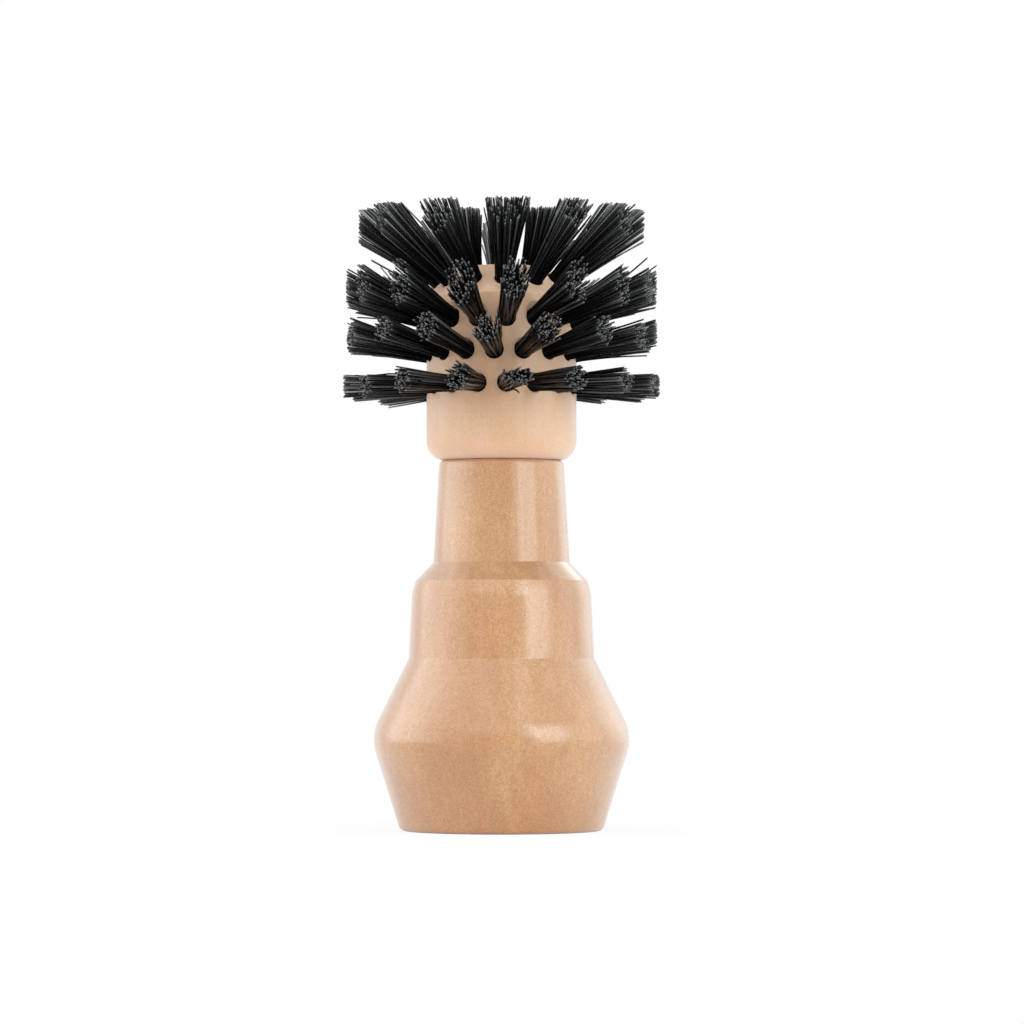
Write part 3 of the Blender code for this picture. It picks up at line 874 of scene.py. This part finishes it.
def wood_colour(tree, wood, speckle):
    """Colour of turned beech: a drifting tone with grain, mottle and short flecks over it."""
    colour = ramp(tree, noise(tree, TONE_TEXTURE), list(zip(TONE_STOPS, wood.tones)))
    grain_shade = ramp(tree, noise(tree, GRAIN_TEXTURE), GRAIN_STOPS)
    colour = mixed(tree, "MULTIPLY", wood.grain_share, colour, grain_shade)
    mottle_dark = [1 - wood.mottle_share * ratio for ratio in MOTTLE_RATIOS]
    mottle = ramp(tree, speckle, list(zip(MOTTLE_STOPS, (mottle_dark, MOTTLE_LIGHT))))
    colour = mixed(tree, "MULTIPLY", 1.0, colour, mottle)
    gathered = worked_out(
        tree, "MULTIPLY_ADD", noise(tree, PATCH_TEXTURE), PATCH_WEIGHT, noise(tree, FLECK_TEXTURE),
    )
    fleck_mask = ranged(tree, gathered, FLECK_RANGE, (0.0, wood.fleck_share))
    return mixed(tree, "MIX", fleck_mask, colour, (*wood.fleck, 1.0))


def wood_finish(wood):
    """Turned beech with its grain along Z, under a lacquer that is a little uneven."""
    made, tree, shader = new_material(wood.name)
    speckle = noise(tree, SPECKLE_TEXTURE)
    roughnesses = [wood.roughness + change for change in WOOD_ROUGHNESS_CHANGES]
    tree.links.new(wood_colour(tree, wood, speckle), shader.inputs["Base Color"])
    tree.links.new(ranged(tree, speckle, MIDDLE_RANGE, roughnesses), shader.inputs["Roughness"])
    shader.inputs["Coat Weight"].default_value = wood.coat_share
    shader.inputs["Coat Roughness"].default_value = wood.coat_roughness
    shader.inputs["Coat IOR"].default_value = wood.coat_ior
    shader.inputs["Specular IOR Level"].default_value = WOOD_SPECULAR
    shader.inputs["Sheen Weight"].default_value = wood.sheen_share
    shader.inputs["Sheen Roughness"].default_value = SHEEN_ROUGHNESS
    bumped(tree, speckle, SPECKLE_BUMP, shader.inputs["Normal"])
    bumped(tree, noise(tree, PEEL_TEXTURE), PEEL_BUMP, shader.inputs["Coat Normal"])
    return made


def bristle_finish():
    """Black nylon sides: each filament has its own depth of black and gloss, the palest with painted
    highlight streaks, duller in gloss at its root and darkened there by painted shade, and lightened
    near its tip by painted light.
    """
    made, tree, shader = new_material("bristle_black")
    own = add_node(tree, "ShaderNodeNewGeometry").outputs["Random Per Island"]
    reached = add_node(tree, "ShaderNodeAttribute", attribute_name="reached").outputs["Fac"]
    # Random tone per filament; the palest are painted highlight streaks
    colour = ramp(tree, own, BRISTLE_TONE_AND_PAINTED_STREAK_STOPS)
    # Painted shade: the colour darkens towards the root
    colour = mixed(tree, "MULTIPLY", 1.0, colour, ranged(tree, reached, ROOT_PAINTED_SHADE_RANGE, ROOT_PAINTED_SHADE_SHARES))
    # Painted light: the colour is lighter near the tip
    colour = mixed(tree, "ADD", ranged(tree, reached, TIP_PAINTED_LIGHT_RANGE, (0.0, 1.0)), colour, TIP_PAINTED_LIGHT)
    rare = worked_out(tree, "POWER", own, GLOSS_POWER)
    gloss = worked_out(tree, "MULTIPLY_ADD", rare, GLOSS_RISE, LEAST_GLOSS)
    gloss = worked_out(tree, "MULTIPLY", ranged(tree, reached, GLOSS_RANGE, GLOSS_SHARES), gloss)
    tree.links.new(colour, shader.inputs["Base Color"])
    tree.links.new(ranged(tree, own, (0.0, 1.0), BRISTLE_ROUGHNESSES), shader.inputs["Roughness"])
    shader.inputs["Specular IOR Level"].default_value = UNLINKED_GLOSS
    tree.links.new(gloss, shader.inputs["Specular IOR Level"])
    bumped(tree, noise(tree, DRAWN_TEXTURE), DRAWN_BUMP, shader.inputs["Normal"])
    return made


def cut_end_finish():
    """Grey cut ends of the filaments, scuffed by the trimming."""
    made, tree, shader = new_material("bristle_cut_end")
    own = add_node(tree, "ShaderNodeNewGeometry").outputs["Random Per Island"]
    scuff = noise(tree, SCUFF_TEXTURE)
    colour = mixed(tree, "MULTIPLY", 1.0, ramp(tree, own, CUT_STOPS), ramp(tree, scuff, SCUFF_STOPS))
    tree.links.new(colour, shader.inputs["Base Color"])
    tree.links.new(ranged(tree, scuff, MIDDLE_RANGE, CUT_ROUGHNESSES), shader.inputs["Roughness"])
    shader.inputs["Specular IOR Level"].default_value = CUT_SPECULAR
    return made


def metal_finish(metal):
    """Turned metal with fine tool marks round its axis."""
    made, tree, shader = new_material(metal.name)
    marks = noise(tree, TOOL_MARK_TEXTURE)
    colour = ramp(tree, marks, list(zip(MIDDLE_RANGE, (metal.dark, metal.light))))
    roughnesses = [metal.roughness + change for change in METAL_ROUGHNESS_CHANGES]
    tree.links.new(colour, shader.inputs["Base Color"])
    tree.links.new(ranged(tree, marks, MIDDLE_RANGE, roughnesses), shader.inputs["Roughness"])
    shader.inputs["Metallic"].default_value = 1.0
    bumped(tree, marks, TOOL_MARK_BUMP, shader.inputs["Normal"])
    return made


def show_mixed(tree, share, first, second, output_kind):
    """Show two shaders mixed by a share, as a material's or the world's surface."""
    mix = add_node(tree, "ShaderNodeMixShader")
    output = add_node(tree, output_kind)
    tree.links.new(share, mix.inputs[0])
    tree.links.new(first.outputs[0], mix.inputs[1])
    tree.links.new(second.outputs[0], mix.inputs[2])
    tree.links.new(mix.outputs[0], output.inputs["Surface"])


def make_world():
    """A white surround for the rays that see it, and a weaker fill for the rest."""
    world = bpy.data.worlds.new("studio")
    bpy.context.scene.world = world
    world.use_nodes = True
    tree = world.node_tree
    tree.nodes.clear()
    lighting = add_node(tree, "ShaderNodeBackground", {"Color": WHITE, "Strength": FILL_STRENGTH})
    seen = add_node(tree, "ShaderNodeBackground", {"Color": WHITE, "Strength": 1.0})
    path = add_node(tree, "ShaderNodeLightPath")
    share = worked_through(tree, "MAXIMUM", [path.outputs[ray] for ray in SEEING_RAYS])
    show_mixed(tree, share, lighting, seen, "ShaderNodeOutputWorld")


def floor_finish():
    """Pale where it is lit, and white to the rays that see it, less so near the brush's foot."""
    made = bpy.data.materials.new("floor_white")
    made.use_nodes = True
    tree = made.node_tree
    tree.nodes.clear()
    diffuse = add_node(tree, "ShaderNodeBsdfDiffuse", {"Color": FLOOR_COLOUR})
    glow = add_node(tree, "ShaderNodeEmission", {"Color": WHITE, "Strength": 1.0})
    place = add_node(tree, "ShaderNodeTexCoord")
    away = add_node(tree, "ShaderNodeVectorMath", operation="LENGTH")
    tree.links.new(place.outputs["Object"], away.inputs[0])
    whites = [
        ranged(tree, away.outputs["Value"], (FOOT_SHADOW_RADIUS, shadow_reach), (white_share, 1.0))
        for shadow_reach, white_share in (
            (FOOT_SHADOW_REACH, FOOT_WHITE_SHARE),
            (MIRRORED_SHADOW_REACH, MIRRORED_WHITE_SHARE),
            (FOOT_SHADOW_REACH, FOOT_WHITE_SHARE),
        )
    ]
    path = add_node(tree, "ShaderNodeLightPath")
    seen = [
        worked_out(tree, "MULTIPLY", path.outputs[ray], white) for ray, white in zip(SEEING_RAYS, whites)
    ]
    show_mixed(tree, worked_through(tree, "MAXIMUM", seen), diffuse, glow, "ShaderNodeOutputMaterial")
    return made


def make_floor():
    """A round floor under the brush."""
    mesh = bpy.data.meshes.new("floor")
    disc = bmesh.new()
    bmesh.ops.create_circle(disc, cap_ends=True, segments=FLOOR_SIDES, radius=FLOOR_RADIUS)
    disc.to_mesh(mesh)
    disc.free()
    floor = new_object("floor", mesh)
    floor.data.materials.append(floor_finish())


def fade_edges(light, fade_shares):
    """Fade a rectangular light towards its left, right, bottom and top edges."""
    light.use_nodes = True
    tree = light.node_tree
    place = add_node(tree, "ShaderNodeNewGeometry")
    split = add_node(tree, "ShaderNodeSeparateXYZ")
    tree.links.new(place.outputs["Parametric"], split.inputs[0])
    left, right, bottom, top = fade_shares
    edges = (
        ("X", 0.0, left),
        ("X", 1.0, 1.0 - right),
        ("Y", 0.0, bottom),
        ("Y", 1.0, 1.0 - top),
    )
    fades = []
    for axis, edge, inside in edges:
        fade = add_node(
            tree, "ShaderNodeMapRange", {"From Min": edge, "From Max": inside},
            interpolation_type="SMOOTHSTEP",
        )
        tree.links.new(split.outputs[axis], fade.inputs["Value"])
        fades.append(fade.outputs["Result"])
    strength = worked_through(tree, "MULTIPLY", fades)
    tree.links.new(strength, tree.nodes["Emission"].inputs["Strength"])


def make_lamp(lamp):
    """A rectangular light aimed at the brush, with the energy that gives its radiance."""
    azimuth = math.radians(lamp.azimuth)
    elevation = math.radians(lamp.elevation)
    level = math.cos(elevation) * LAMP_DISTANCE
    middle = Vector((0.0, 0.0, AIM_HEIGHT))
    place = middle + Vector((
        math.sin(azimuth) * level,
        -math.cos(azimuth) * level,
        math.sin(elevation) * LAMP_DISTANCE,
    ))
    light = bpy.data.lights.new(lamp.name, "AREA")
    light.shape = "RECTANGLE"
    light.size = lamp.width
    light.size_y = lamp.height
    light.energy = lamp.radiance * math.pi * lamp.width * lamp.height
    light.color = lamp.tint
    made = new_object(lamp.name, light)
    made.location = place
    made.rotation_euler = (middle - place).to_track_quat("-Z", "Y").to_euler()
    made.visible_camera = False
    fade_edges(light, lamp.fade_shares)


def make_camera():
    """The photograph's view: from the front, a little above the handle's middle."""
    camera = bpy.data.cameras.new("camera")
    camera.sensor_width = SENSOR_WIDTH
    camera.lens = SENSOR_WIDTH * CAMERA_DISTANCE / FRAME_WIDTH
    camera.clip_start = NEAR_CLIP
    made = new_object("camera", camera)
    made.location = (CAMERA_SIDE, -CAMERA_DISTANCE, EYE_HEIGHT)
    aim = Vector((CAMERA_SIDE, 0.0, AIM_HEIGHT)) - made.location
    made.rotation_euler = aim.to_track_quat("-Z", "Y").to_euler()
    bpy.context.scene.camera = made


def main():
    """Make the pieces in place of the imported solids, then the surround, lamps and camera."""
    bpy.context.scene.view_settings.view_transform = "Standard"
    head_low, head_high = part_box("brush_head")
    head_radius = (head_high.x - head_low.x) / 2
    rows = tuft_rows(head_high.z, head_radius)
    make_handle()
    make_head(rows, head_low, head_high, head_radius)
    make_tufts(rows)
    make_stud()
    make_insert()
    make_world()
    make_floor()
    for lamp in LAMPS:
        make_lamp(lamp)
    make_camera()


main()
